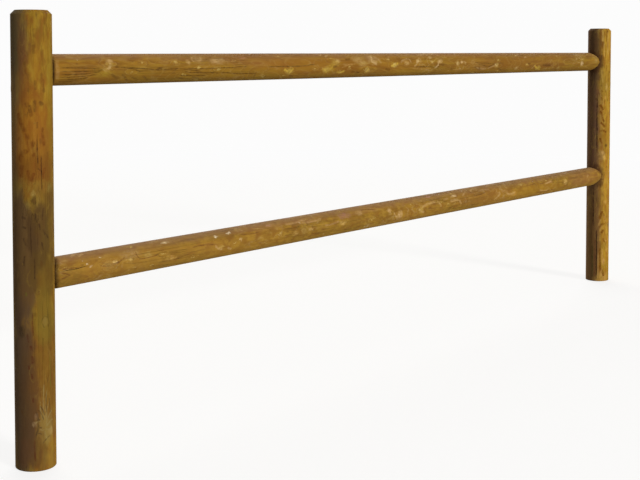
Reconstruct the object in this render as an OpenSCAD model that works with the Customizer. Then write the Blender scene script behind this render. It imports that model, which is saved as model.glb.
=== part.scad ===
// Round timber barrier fence, one bay: two turned posts and two turned rails with rounded ends.
// Each rail end is hollowed to seat against its post and is held there by a hidden, glued dowel.
// Frame: +X runs along the bay, +Y to the rear, +Z up. The origin is the centre of the left
// post's foot.

/* [Posts] */
// Diameter of the turned posts
post_d = 100; // [90:1:130]
// Height of the posts from foot to top
post_h = 1120; // [900:10:1500]
// Width and depth of the bevel round the post tops
top_bevel = 12; // [2:1:20]

/* [Rails] */
// Diameter of the turned rails
rail_d = 80; // [70:1:84]
// Length of the rails from end to end
rail_len = 3000; // [1200:10:4000]
// Length over which each rail end is rounded off
end_round_len = 48; // [30:2:80]
// Radius that a rail has lost where its rounded end stops
end_round = 10; // [2:1:12]
// Depth of the hollow that lets a rail's end wrap round the post
hollow_depth = 13; // [6:1:20]
// Gap left between a rail's hollow and the post
seat_gap = 0.3; // [0.1:0.1:2]
// Drop from the post tops to the upper rail's centre line
upper_rail_drop = 146; // [80:2:260]
// Height of the lower rail's centre line above the feet
lower_rail_z = 470; // [150:5:550]
// How far the upper rail's centre line lies behind the posts' centre lines
upper_rail_back = 10; // [-10:1:10]
// How far the lower rail's centre line lies behind the posts' centre lines
lower_rail_back = -3; // [-10:1:10]

/* [Dowels] */
// Diameter of the dowels that join the rails to the posts
dowel_d = 20; // [16:1:22]
// Length of the dowels
dowel_len = 130; // [100:5:150]
// How far a dowel reaches past the post's centre line
dowel_past = 15; // [0:1:20]
// Width and depth of the bevel on the dowel ends
dowel_bevel = 2; // [1:0.5:3]
// Clearance on the diameter of the dowel bores
bore_clear = 0.6; // [0.4:0.1:1]
// Room for glue past each end of a dowel
bore_room = 3; // [2:1:10]

/* [Hidden] */
post_r = post_d / 2;
rail_r = rail_d / 2;
hollow_r = post_r + seat_gap;
// A rail's end plane lies this far from its post's centre line.
rail_start = hollow_r - hollow_depth;
right_x = rail_len + 2 * rail_start;
upper_rail_z = post_h - upper_rail_drop;
// Halfway along a rounded end a third of the radius is still to come off.
half_round = end_round / 3;
dowel_r = dowel_d / 2;
bore_d = dowel_d + bore_clear;
bore_len = dowel_len + 2 * bore_room;
round_fn = 96;
small_fn = 48;

// Puts a child drawn round the left post, with the rail towards +X, at a joint of either post.
module at_joint(right, z) {
    translate([right ? right_x : 0, 0, z])
        mirror([right ? 1 : 0, 0, 0])
            children();
}

// Lays a child drawn up +Z along +X.
module along_x() {
    rotate([0, 90, 0])
        children();
}

module dowel_bore() {
    translate([-dowel_past - bore_room, 0, 0])
        along_x()
            cylinder(d = bore_d, h = bore_len, $fn = small_fn);
}

module turned_post() {
    cylinder(r = post_r, h = post_h - top_bevel, $fn = round_fn);
    translate([0, 0, post_h - top_bevel])
        cylinder(r1 = post_r, r2 = post_r - top_bevel, h = top_bevel, $fn = round_fn);
}

module post(right) {
    color([0.53, 0.37, 0.16])
        difference() {
            translate([right ? right_x : 0, 0, 0])
                turned_post();
            at_joint(right, upper_rail_z)
                dowel_bore();
            at_joint(right, lower_rail_z)
                dowel_bore();
        }
}

// A turned rail before its ends are hollowed, standing on one end.
module rail_blank() {
    rotate_extrude($fn = round_fn)
        polygon([
            [0, 0], [rail_r - end_round, 0],
            [rail_r - half_round, end_round_len / 2], [rail_r, end_round_len],
            [rail_r, rail_len - end_round_len], [rail_r - half_round, rail_len - end_round_len / 2],
            [rail_r - end_round, rail_len], [0, rail_len]
        ]);
}

module post_hollow() {
    translate([0, 0, -rail_d])
        cylinder(r = hollow_r, h = 2 * rail_d, $fn = round_fn);
}

module rail(z, back) {
    color([0.58, 0.42, 0.18])
        difference() {
            translate([rail_start, back, z])
                along_x()
                    rail_blank();
            at_joint(false, z) {
                post_hollow();
                dowel_bore();
            }
            at_joint(true, z) {
                post_hollow();
                dowel_bore();
            }
        }
}

module dowel(right, z) {
    color([0.74, 0.60, 0.42])
        at_joint(right, z)
            translate([-dowel_past, 0, 0])
                along_x()
                    rotate_extrude($fn = small_fn)
                        polygon([
                            [0, 0], [dowel_r - dowel_bevel, 0], [dowel_r, dowel_bevel],
                            [dowel_r, dowel_len - dowel_bevel], [dowel_r - dowel_bevel, dowel_len],
                            [0, dowel_len]
                        ]);
}

post(false);  // left_post
post(true);  // right_post
rail(upper_rail_z, upper_rail_back);  // upper_rail
rail(lower_rail_z, lower_rail_back);  // lower_rail
dowel(false, upper_rail_z);  // dowel_left_upper
dowel(false, lower_rail_z);  // dowel_left_lower
dowel(true, upper_rail_z);  // dowel_right_upper
dowel(true, lower_rail_z);  // dowel_right_lower
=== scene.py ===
import math
from functools import partial

import bmesh
import bpy
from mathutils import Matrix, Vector


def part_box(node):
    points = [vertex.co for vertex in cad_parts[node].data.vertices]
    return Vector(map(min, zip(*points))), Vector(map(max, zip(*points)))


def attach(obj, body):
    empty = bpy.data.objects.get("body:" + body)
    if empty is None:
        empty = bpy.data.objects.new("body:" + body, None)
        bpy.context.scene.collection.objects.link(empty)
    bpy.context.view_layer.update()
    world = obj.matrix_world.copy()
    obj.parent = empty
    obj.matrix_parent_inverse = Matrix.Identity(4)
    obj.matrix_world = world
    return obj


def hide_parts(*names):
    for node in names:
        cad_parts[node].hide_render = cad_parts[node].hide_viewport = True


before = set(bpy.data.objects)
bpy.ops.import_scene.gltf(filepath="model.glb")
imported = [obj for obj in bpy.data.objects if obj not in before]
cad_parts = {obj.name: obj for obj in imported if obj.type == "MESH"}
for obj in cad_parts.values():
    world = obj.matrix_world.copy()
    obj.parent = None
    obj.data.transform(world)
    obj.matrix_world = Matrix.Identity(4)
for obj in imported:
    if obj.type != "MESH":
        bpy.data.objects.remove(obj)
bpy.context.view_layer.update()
scene = bpy.context.scene


# ---- Studio: camera, lamps, sky and floor ------------------------------------------------------
# The camera stands at chest height beyond the left post and looks along the bay. A broad sun
# from the front lights the timbers, a broader and weaker one from behind fills the far sides,
# and a pale floor runs into a pale sky.

EYE = (-1.7909, -2.3617, 1.0206)
EYE_TURN = 50.85
EYE_DIP = 2.636
LENS_MM = 66.63
LENS_SHIFT = -0.21
KEY_TURN = -6.0
KEY_HEIGHT = 14.0
KEY_SPREAD = 14.0
KEY_STRENGTH = 2.4
BACK_TURN = 136.0
BACK_HEIGHT = 22.0
BACK_SPREAD = 60.0
BACK_STRENGTH = 2.2
FILL_STRENGTH = 0.24
SKY_WHITE = 0.975
FLOOR_HALF = 30.0
FLOOR_FADE_START = 4.0
FLOOR_FADE_END = 9.0
FLOOR_GREY = "#8C8A86"
FLOOR_GLOW = 0.79
WHITE = (1, 1, 1, 1)
SMOOTH = {"interpolation_type": "SMOOTHSTEP"}


def linear(code):
    """The linear colour, with full alpha, of an sRGB hex code."""
    parts = [int(code[i : i + 2], 16) / 255 for i in (1, 3, 5)]
    return [c / 12.92 if c <= 0.04045 else ((c + 0.055) / 1.055) ** 2.4 for c in parts] + [1.0]


def add(tree, kind, *inputs, out=0, **settings):
    """Adds a node. Its kind goes without its family's name, and a dot comes before what it works
    out, as in "Math.ADD". Inputs are sockets or values in order, or a dict of them by name."""
    kind, _, operation = kind.partition(".")
    if operation:
        settings["operation"] = operation
    families = (tree.bl_idname.removesuffix("Tree"), "ShaderNode", "FunctionNode", "Node")
    made = tree.nodes.new(next(name for name in families if hasattr(bpy.types, name + kind)) + kind)
    for name, value in settings.items():
        setattr(made, name, value)
    pairs = []
    for place, value in enumerate(inputs):
        pairs += list(value.items()) if isinstance(value, dict) else [(place, value)]
    for place, value in pairs:
        if isinstance(value, bpy.types.NodeSocket):
            tree.links.new(value, made.inputs[place])
        elif value is not None:
            made.inputs[place].default_value = value
    return made.outputs[out] if len(made.outputs) else made


def emptied(owner):
    """The node tree of a world or a material, without its first nodes."""
    owner.use_nodes = True
    owner.node_tree.nodes.clear()
    return owner.node_tree


def placed(name, data):
    """A new object in the scene."""
    made = bpy.data.objects.new(name, data)
    scene.collection.objects.link(made)
    return made


camera_data = bpy.data.cameras.new("camera")
camera_data.sensor_width = 36.0
camera_data.lens = LENS_MM
camera_data.shift_y = LENS_SHIFT
camera = placed("camera", camera_data)
camera.location = EYE
camera.rotation_euler = (math.radians(90 - EYE_DIP), 0, -math.radians(EYE_TURN))
scene.camera = camera
scene.view_settings.view_transform = "Standard"

for lamp_name, turn, height, spread, strength in (
    ("key", KEY_TURN, KEY_HEIGHT, KEY_SPREAD, KEY_STRENGTH),
    ("back", BACK_TURN, BACK_HEIGHT, BACK_SPREAD, BACK_STRENGTH),
):
    lamp_data = bpy.data.lights.new(lamp_name, "SUN")
    lamp_data.energy = strength
    lamp_data.angle = math.radians(spread)
    placed(lamp_name, lamp_data).rotation_euler = (math.radians(90 - height), 0, math.radians(turn))


def seen_directly(tree):
    """1 for rays that show the backdrop itself: camera, glossy and transmission rays."""
    path = add(tree, "LightPath").node.outputs
    mirror = add(tree, "Math.MAXIMUM", path["Is Glossy Ray"], path["Is Transmission Ray"])
    return add(tree, "Math.MAXIMUM", path["Is Camera Ray"], mirror)


scene.world = bpy.data.worlds.new("studio")
sky = emptied(scene.world)
sky_strength = add(sky, "Mix", {0: seen_directly(sky), 2: FILL_STRENGTH, 3: SKY_WHITE})
add(sky, "OutputWorld", add(sky, "Background", WHITE, sky_strength))

# Matt pale floor paint: it takes the timbers' soft shadows near them and fades to the sky's white.
floor_mesh = bpy.data.meshes.new("floor")
corners = [(x * FLOOR_HALF, y * FLOOR_HALF, 0) for x, y in ((-1, -1), (1, -1), (1, 1), (-1, 1))]
floor_mesh.from_pydata(corners, [], [(0, 1, 2, 3)])
floor = placed("floor", floor_mesh)
floor_paint = bpy.data.materials.new("matt_pale_floor_paint")
paint = emptied(floor_paint)
floor_reach = add(paint, "VectorMath.LENGTH", add(paint, "TexCoord", out="Object"), out="Value")
far = add(paint, "MapRange", floor_reach, FLOOR_FADE_START, FLOOR_FADE_END, 0.0, 1.0, **SMOOTH)
matt = add(paint, "BsdfDiffuse", linear(FLOOR_GREY))
lit = add(paint, "AddShader", matt, add(paint, "Emission", WHITE, FLOOR_GLOW))
shown = add(paint, "MixShader", far, lit, add(paint, "Emission", WHITE, SKY_WHITE))
add(paint, "OutputMaterial", add(paint, "MixShader", seen_directly(paint), matt, shown))
floor_mesh.materials.append(floor_paint)


# ---- Posts -------------------------------------------------------------------------------------
# Round posts of pine, turned to one diameter, with a sawn foot and a bevelled top. They were
# impregnated under pressure, which leaves them golden brown with an olive cast, and have dried
# since, so they carry long checks. Each is bored on its inner side for the rails' dowels.

MM = 0.001
left_low, left_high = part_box("left_post")
right_low, right_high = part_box("right_post")
post_radius = (left_high.y - left_low.y) / 2
post_height = left_high.z - left_low.z
left_x = (left_low.x + left_high.x) / 2
right_x = (right_low.x + right_high.x) / 2
dowel_low, dowel_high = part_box("dowel_left_upper")
upper_z = (dowel_low.z + dowel_high.z) / 2
dowel_radius = (dowel_high.z - dowel_low.z) / 2
dowel_past = left_x - dowel_low.x
dowel_length = dowel_high.x - dowel_low.x
dowel_low, dowel_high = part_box("dowel_left_lower")
lower_z = (dowel_low.z + dowel_high.z) / 2
POST_BEVEL = 10 * MM
ARRIS = 1.2 * MM
EDGE_ROUND = 1.0 * MM
BORE_CLEARANCE = 0.3 * MM
BORE_ROOM = 3 * MM
WORN_BEND = 28
CRISP_BEND = 35
AT_POINTS = {"data_type": "FLOAT_VECTOR", "domain": "POINT"}


def opened(name, kind, takes, gives):
    """A new group of nodes, and the sockets that it takes. These are named by their kinds."""
    group = bpy.data.node_groups.new(name, kind)
    for way, kinds in (("INPUT", takes), ("OUTPUT", gives)):
        for socket_kind, names in kinds.items():
            for socket_name in names:
                group.interface.new_socket(socket_name, in_out=way, socket_type="NodeSocket" + socket_kind)
    return group, add(group, "GroupInput").node.outputs


def shaken(put, noise_colour, reach):
    """A noise's colour turned into a shift to either side by up to half this reach."""
    return put("VectorMath.MULTIPLY", put("VectorMath.SUBTRACT", noise_colour, (0.5, 0.5, 0.5)), reach)


def waves(put, given, across, along, out=0):
    """Noise with so many waves a metre, across the timber and along it."""
    spread = put("VectorMath.MULTIPLY", put("InputPosition"), (across, across, along))
    return put("TexNoise", {"Vector": spread, "W": given["Seed"], "Scale": 1.0, "Detail": 2.0},
               noise_dimensions="4D", out=out)


def turned(put, given):
    """The timber as it leaves the lathe. An outline from the middle of the foot to the middle of
    the top wraps a sheet of rows and columns round the axis and closes it."""
    here, count = put("InputPosition"), put("InputIndex")
    foot_flat = put("Math.SUBTRACT", given["Radius"], given["Foot bevel"])
    top_flat = put("Math.SUBTRACT", given["Radius"], given["Top bevel"])
    shoulder = put("Math.SUBTRACT", given["Length"], given["Top bevel"])
    outline = (
        (0.0, 0.0), (foot_flat, 0.0), (given["Radius"], given["Foot bevel"]),
        (given["Radius"], shoulder), (top_flat, given["Length"]), (0.0, given["Length"]),
    )
    corner = put("IndexSwitch", {0: count}, data_type="VECTOR").node
    for _ in outline[len(corner.index_switch_items) :]:
        corner.index_switch_items.new()
    for (across, up), socket in zip(outline, corner.inputs[1:]):
        corner.id_data.links.new(put("CombineXYZ", across, 0.0, up), socket)
    corners = put("MeshLine", {"Count": len(outline)})
    corners = put("SetPosition", corners, {"Position": corner.outputs[0]})
    fillet = {"Radius": given["Edge round"], "Count": 2, "Limit Radius": True}
    corners = put("FilletCurve", put("MeshToCurve", corners), fillet, mode="POLY")
    ahead = put("FieldAtIndex", {"Value": here, "Index": put("Math.ADD", count, 1.0)}, **AT_POINTS)
    stretch = put("VectorMath.DISTANCE", here, ahead, out="Value")
    cuts = put("Math.MINIMUM", put("Math.DIVIDE", stretch, given["End row gap"]), given["Rows"])
    corners = put("SubdivideCurve", corners, cuts)
    row_count = put("AttributeDomainSize", corners, component="CURVE", out="Point Count")

    sheet = put("MeshGrid", 1.0, 1.0, put("Math.ADD", given["Columns"], 1.0), row_count)
    round_share, row, _ = put("SeparateXYZ", here).node.outputs
    row = put("Math.MULTIPLY", put("Math.ADD", row, 0.5), put("Math.SUBTRACT", row_count, 1.0))
    row = put("Math.ROUND", row)
    traced = put("SampleIndex", corners, {"Value": here, "Index": row}, **AT_POINTS)
    reach, _, rise = put("SeparateXYZ", traced).node.outputs
    far_end = put("Math.SUBTRACT", given["Length"], rise)
    foot_round = put("MapRange", rise, 0.0, given["Foot rounded length"], 1.0, 0.0)
    top_round = put("MapRange", far_end, 0.0, given["Top rounded length"], 1.0, 0.0)
    rounded = put("Math.POWER", put("Math.MAXIMUM", foot_round, top_round), 1.5)
    angle = put("Math.MULTIPLY", round_share, math.tau)
    sides = []
    for rounding, wave in ((given["Rounding"], "COSINE"), (given["Side rounding"], "SINE")):
        lost = put("Math.MULTIPLY", rounded, put("Math.DIVIDE", rounding, given["Radius"]))
        side = put("Math.MULTIPLY", reach, put("Math." + wave, angle))
        sides.append(put("Math.MULTIPLY", side, put("Math.SUBTRACT", 1.0, lost)))
    return put("SetPosition", sheet, {"Position": put("CombineXYZ", *sides, rise)})


def seated(put, given, timber):
    """Each end is cut back to the round seat."""
    side_x, side_y, level = put("SeparateXYZ", put("InputPosition")).node.outputs
    aside = put("Math.ADD", side_y, given["Seat offset"])
    aside = put("Math.MULTIPLY", aside, aside)
    seat = put("Math.MULTIPLY", given["Seat radius"], given["Seat radius"])
    seat = put("Math.MAXIMUM", put("Math.SUBTRACT", seat, aside), 0.0)
    seat = put("Math.SUBTRACT", put("Math.SQRT", seat), given["Seat start"])
    far_seat = put("Math.SUBTRACT", given["Length"], seat)
    level = put("Math.MINIMUM", put("Math.MAXIMUM", level, seat), far_seat)
    timber = put("SetPosition", timber, {"Position": put("CombineXYZ", side_x, side_y, level)})
    return put("MergeByDistance", timber, {"Distance": 0.05 * MM})


def dried(put, given, timber):
    """Dried timber isn't true: it moves inwards a little, and knots stand proud. Points on worn
    edges are drawn towards their neighbours."""
    here = put("InputPosition")
    knots = put("ObjectInfo", given["Knots"], out="Geometry")
    nearest = put("SampleNearest", knots, here)
    place = put("SampleIndex", knots, {"Value": here, "Index": nearest}, **AT_POINTS)
    size = put("InputNamedAttribute", "size")
    size = put("SampleIndex", knots, {"Value": size, "Index": nearest})
    gap = put("Math.DIVIDE", put("VectorMath.DISTANCE", here, place, out="Value"), size)
    proud = put("MapRange", gap, 0.6, 2.2, 1.0, 0.0, **SMOOTH)
    sunk = put("Math.SUBTRACT", 1.0, put("Math.MAXIMUM", waves(put, given, 16.0, 3.5), proud))
    sunk = put("Math.DIVIDE", put("Math.MULTIPLY", sunk, given["Unevenness"]), given["Radius"])
    inward = put("VectorMath.MULTIPLY", here, (-1.0, -1.0, 0.0))
    inward = put("VectorMath.SCALE", inward, {"Scale": sunk})
    timber = put("SetPosition", timber, {"Offset": inward})
    worn = put("Compare.GREATER_THAN", put("InputMeshEdgeAngle"), math.radians(WORN_BEND))
    drawn = put("BlurAttribute", {"Value": here, "Iterations": 1}, data_type="FLOAT_VECTOR")
    return put("SetPosition", timber, {"Selection": worn, "Position": drawn})


def cut(put, given, timber):
    """Checks follow the wavy grain, and bores are true. Faces are marked by how far they are the
    wall of a cut."""
    def cutters(places, cutter, **facts):
        """A cutter on each of the places, which hold its turn and size as named facts."""
        facts = {fact: put("InputNamedAttribute", name, data_type="FLOAT_VECTOR")
                 for fact, name in facts.items()}
        return put("RealizeInstances", put("InstanceOnPoints", {
            "Points": put("ObjectInfo", given[places], out="Geometry"),
            "Instance": put("ObjectInfo", given[cutter], out="Geometry"), **facts}))

    def walled(geometry, share):
        """The geometry, marked all over by this share."""
        return put("StoreNamedAttribute", geometry, {"Name": "wall", "Value": share}, domain="FACE")

    waver = shaken(put, waves(put, given, 6.0, 42.0, "Color"), (8 * MM, 8 * MM, 0.0))
    wedges = cutters("Check places", "Check wedge", Rotation="turn", Scale="size")
    wedges = put("SetPosition", wedges, {"Offset": waver})
    timber = walled(timber, 0.0)
    for cutter in (wedges, cutters("Bore places", "Bore cutter", Rotation="turn")):
        timber = put("MeshBoolean.DIFFERENCE", {"Mesh 1": timber, "Mesh 2": walled(cutter, 1.0)},
                     solver="MANIFOLD")
    return timber


def timber_tree():
    """A turned timber standing on the origin: its outline is spun, its ends are hollowed to
    seat on round posts, its surface moves a little, and checks and bores are cut from it."""
    tree, given = opened("turned_timber", "GeometryNodeTree", {
        "Geometry": ("Geometry",),
        "Float": ("Radius", "Length", "Foot bevel", "Top bevel", "Edge round", "End row gap", "Rounding",
                  "Side rounding", "Foot rounded length", "Top rounded length", "Seat radius",
                  "Seat start", "Seat offset", "Unevenness", "Seed"),
        "Int": ("Rows", "Columns"),
        "Object": ("Knots", "Check places", "Check wedge", "Bore places", "Bore cutter"),
        "Vector": ("Turn", "Place"),
        "Material": ("Finish",),
    }, {"Geometry": ("Geometry",)})
    put = partial(add, tree)
    timber = turned(put, given)
    for work in (seated, dried, cut):
        timber = work(put, given, timber)
    timber = put("SetShadeSmooth", timber, True, True, domain="FACE")
    crisp = put("Compare.GREATER_THAN", put("InputMeshEdgeAngle"), math.radians(CRISP_BEND))
    timber = put("SetShadeSmooth", timber, crisp, False, domain="EDGE")
    timber = put("Transform", timber, {"Translation": given["Place"], "Rotation": given["Turn"]})
    timber = put("RealizeInstances", timber)
    put("GroupOutput", put("SetMaterial", timber, {"Material": given["Finish"]}))
    return tree


def grown(name, tree, sizes):
    """The plain mesh that a tree gives with these sizes, as a new object."""
    holder = placed(name + "_blank", bpy.data.meshes.new(name + "_blank"))
    modifier = holder.modifiers.new("shape", "NODES")
    modifier.node_group = tree
    for socket in tree.interface.items_tree:
        if socket.in_out == "INPUT" and socket.name in sizes:
            modifier[socket.identifier] = sizes[socket.name]
    bpy.context.view_layer.update()
    shaped = holder.evaluated_get(bpy.context.evaluated_depsgraph_get())
    mesh = bpy.data.meshes.new_from_object(shaped)
    mesh.name = name
    bpy.data.objects.remove(holder)
    return placed(name, mesh)


def markers(name, places, **facts):
    """A hidden helper of loose points with named facts, for the tree to put things on."""
    mesh = bpy.data.meshes.new(name)
    mesh.from_pydata([tuple(p) for p in places], [], [])
    for fact, values in facts.items():
        kind = "FLOAT_VECTOR" if hasattr(values[0], "__len__") else "FLOAT"
        layer = mesh.attributes.new(fact, kind, "POINT")
        for item, value in zip(layer.data, values):
            setattr(item, "vector" if kind == "FLOAT_VECTOR" else "value", value)
    return bpy.data.objects.new(name, mesh)


def on_surface(radius, height, turn):
    """A point on a timber of that radius: turn is in degrees round its axis."""
    return Vector((radius * math.cos(math.radians(turn)), radius * math.sin(math.radians(turn)), height))


def check_wedge():
    """One drying check as a solid: a long lens, widest at the surface, 1 deep, wide and long."""
    sections = 40
    points = []
    for step in range(sections + 1):
        t = 2 * step / sections - 1
        open_share = (1 - t * t) ** 0.7
        points += [(0.3, -open_share / 2, t / 2), (0.3, open_share / 2, t / 2), (-open_share, 0, t / 2)]
    faces = []
    for step in range(sections):
        a = 3 * step
        faces += [(a + i, a + (i + 1) % 3, a + 3 + (i + 1) % 3, a + 3 + i) for i in range(3)]
    mesh = bpy.data.meshes.new("check_wedge")
    mesh.from_pydata(points, [], faces)
    shape = bmesh.new()
    shape.from_mesh(mesh)
    bmesh.ops.remove_doubles(shape, verts=shape.verts, dist=1e-5)
    bmesh.ops.recalc_face_normals(shape, faces=shape.faces)
    shape.to_mesh(mesh)
    shape.free()
    return bpy.data.objects.new("check_wedge", mesh)


def lathe(name, outline, segments=48):
    """A shape spun round the X axis from an outline of (place along X, radius)."""
    shape = bmesh.new()
    rings = []
    for along, radius in outline:
        turns = segments if radius else 1
        rings.append([shape.verts.new((along, radius * math.cos(math.tau * i / turns),
                                       radius * math.sin(math.tau * i / turns))) for i in range(turns)])
    for near, far in zip(rings, rings[1:]):
        for i in range(segments):
            j = (i + 1) % segments
            around = [near[i % len(near)], near[j % len(near)], far[j % len(far)], far[i % len(far)]]
            shape.faces.new(list(dict.fromkeys(around)))
    bmesh.ops.recalc_face_normals(shape, faces=shape.faces)
    mesh = bpy.data.meshes.new(name)
    shape.to_mesh(mesh)
    shape.free()
    return bpy.data.objects.new(name, mesh)


wedge = check_wedge()
bore_radius = dowel_radius + BORE_CLEARANCE
bore_start = -dowel_past - BORE_ROOM
bore_end = dowel_length - dowel_past + BORE_ROOM
bore_cutter = lathe("bore_cutter", (
    (bore_start, 0), (bore_start, bore_radius), (bore_end, bore_radius), (bore_end, 0)))
turned_timber = timber_tree()


# A clamped range keeps its input on the renderer's stack, which the many patches and strokes would
# overfill. They go without the clamp, which a smooth step doesn't need.
LEAN = {"clamp": False, **SMOOTH}
BRANCH_RISE = 0.12


def branch_knot():
    """How one branch, cut across by the turned surface, lifts the rings round it. Sizes in mm."""
    group, given = opened("branch_knot", "ShaderNodeTree", {
        "Vector": ("Point", "Foot", "Direction"), "Float": ("Spread", "Lift", "Swell", "Heart"),
    }, {"Float": ("Swell", "Heart")})
    put = partial(add, group)
    away = put("VectorMath.SUBTRACT", given["Point"], given["Foot"])
    outward = put("VectorMath.DOT_PRODUCT", away, given["Direction"], out="Value")
    on_axis = put("VectorMath.SCALE", given["Direction"], {"Scale": outward})
    off_axis = put("VectorMath.SUBTRACT", away, on_axis)
    girth = put("Math.MULTIPLY", put("Math.MAXIMUM", outward, 4.0), given["Spread"])

    def girths_off(flat):
        """How many girths off the branch's axis the point is, counted flatter along the timber."""
        off = put("VectorMath.MULTIPLY", off_axis, (1.0, 1.0, flat))
        return put("Math.DIVIDE", put("VectorMath.LENGTH", off, out="Value"), girth)

    heart = put("Math.MINIMUM", given["Heart"], girths_off(0.8))
    wide = girths_off(0.5)
    fall = put("Math.MULTIPLY", put("Math.MULTIPLY", wide, wide), -0.16)
    fall = put("Math.EXPONENT", fall)
    lift = put("Math.MULTIPLY", girth, given["Lift"])
    put("GroupOutput", put("Math.MULTIPLY_ADD", fall, lift, given["Swell"]), heart)
    return group


def grain_stroke():
    """A line on the unrolled surface, from a start along a run, bowed to one side: 1 in its middle
    and 0 past its width and its ends. Sizes in mm."""
    group, given = opened("grain_stroke", "ShaderNodeTree", {
        "Vector": ("Point", "Start", "Run", "Measure", "Bow"), "Float": ("Width", "Shown"),
    }, {"Float": ("Shown",)})
    put = partial(add, group)
    away = put("VectorMath.SUBTRACT", given["Point"], given["Start"])
    share = put("VectorMath.DOT_PRODUCT", away, given["Measure"], out="Value")
    arched = put("Math.MULTIPLY", share, put("Math.SUBTRACT", 1.0, share))
    off = put("VectorMath.SUBTRACT", away, put("VectorMath.SCALE", given["Run"], {"Scale": share}))
    off = put("VectorMath.SUBTRACT", off, put("VectorMath.SCALE", given["Bow"], {"Scale": arched}))
    off = put("VectorMath.LENGTH", off, out="Value")
    line = put("MapRange", off, given["Width"], 0.0, 0.0, 1.5, **LEAN)
    ends = put("MapRange", arched, 0.0, 0.12, **LEAN)
    line = put("Math.MINIMUM", put("Math.MULTIPLY", line, ends), 1.0)
    put("GroupOutput", put("Math.MAXIMUM", line, given["Shown"]))
    return group


class Grain:
    """The ground of one timber's finish: its nodes, and places and noise in mm for its patterns."""

    def __init__(self, material, middle, turn, radius, seed, look):
        self.put = partial(add, emptied(material))
        self.radius, self.seed, self.look = radius, seed, look
        self.on_object = self.put("TexCoord", out="Object")
        self.point = self.put("Mapping", self.on_object, middle, turn, (1 / MM, 1 / MM, 1 / MM))
        self.height = self.put("SeparateXYZ", self.point, out=2)
        patch_fray, knot_fray = look["patch_fray"], look["knot_fray"]
        self.patch_point = self.moved((15, 40), 2.0, (patch_fray, patch_fray, 2.5 * patch_fray))
        self.knot_point = self.moved((6, 10), 4.0, (knot_fray, knot_fray, 1.6 * knot_fray))
        self.torn = self.put("MapRange", self.noise((5, 10), 2.0, 12.0, 0.6), 0.38, 0.6, 0.45, 1.2)

    def per(self, grain, place):
        """A place counted in grains of this size: across the timber, and along it."""
        return self.put("VectorMath.MULTIPLY", place, (1 / grain[0], 1 / grain[0], 1 / grain[1]))

    def noise(self, grain, detail, shift=0.0, rough=0.5, out="Fac", place=None):
        """Noise with this grain: across the timber, and along it."""
        place = self.per(grain, self.point if place is None else place)
        return self.put("TexNoise", {"Vector": place, "W": self.seed + shift, "Scale": 1.0,
                                     "Detail": detail, "Roughness": rough}, noise_dimensions="4D", out=out)

    def winding(self, grain, detail, shift, place):
        """How far off its middle a noise is, which is nothing along winding lines."""
        off = self.put("Math.SUBTRACT", self.noise(grain, detail, shift, place=place), 0.5)
        return self.put("Math.ABSOLUTE", off)

    def strewn(self, place, lot):
        """How far off the nearest of some strewn spots is, and that spot's lot from 0 to 1."""
        spots = self.put("TexVoronoi", {"Vector": place, "Scale": 1.0})
        return spots, self.put("SeparateColor", spots.node.outputs["Color"], out=lot)

    def moved(self, grain, shift, reach):
        """The place in the timber, moved at random by about this reach, so that edges fray."""
        colour = self.noise(grain, 3.0, shift, 0.6, "Color")
        return self.put("VectorMath.ADD", self.point, shaken(self.put, colour, reach))


def branches(grain):
    """The larger branches are placed, and pin knots are strewn. Gives by how much they swell the
    rings, how many girths off the nearest large one is, and a pin's nearness and heart."""
    put, look, radius, seed = grain.put, grain.look, grain.radius, grain.seed
    swell, heart = 0.0, 20.0
    for knot_height, knot_turn, size, lift in look["knots"]:
        swell = put("Group", {
            "Point": grain.knot_point, "Foot": (0.0, 0.0, knot_height - radius * BRANCH_RISE),
            "Direction": on_surface(1.0, BRANCH_RISE, knot_turn).normalized(), "Spread": size / radius,
            "Lift": lift, "Swell": swell, "Heart": heart}, node_tree=knot_group, out="Swell")
        heart = swell.node.outputs["Heart"]
    pins = grain.per((30, look["pin_gap"]), grain.knot_point)
    pin_gap, pin_lot = grain.strewn(put("VectorMath.ADD", pins, (seed, 2 * seed, 3 * seed)), 0)
    pin_near = put("MapRange", pin_gap, 0.0, 0.42, 1.0, 0.0, **SMOOTH)
    pin_heart = put("MapRange", pin_gap, 0.13, 0.05, **SMOOTH)
    swell = put("Math.MULTIPLY_ADD", put("Math.MULTIPLY", pin_near, pin_lot), look["pin_swell"], swell)
    return swell, heart, pin_near, pin_heart


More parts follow.
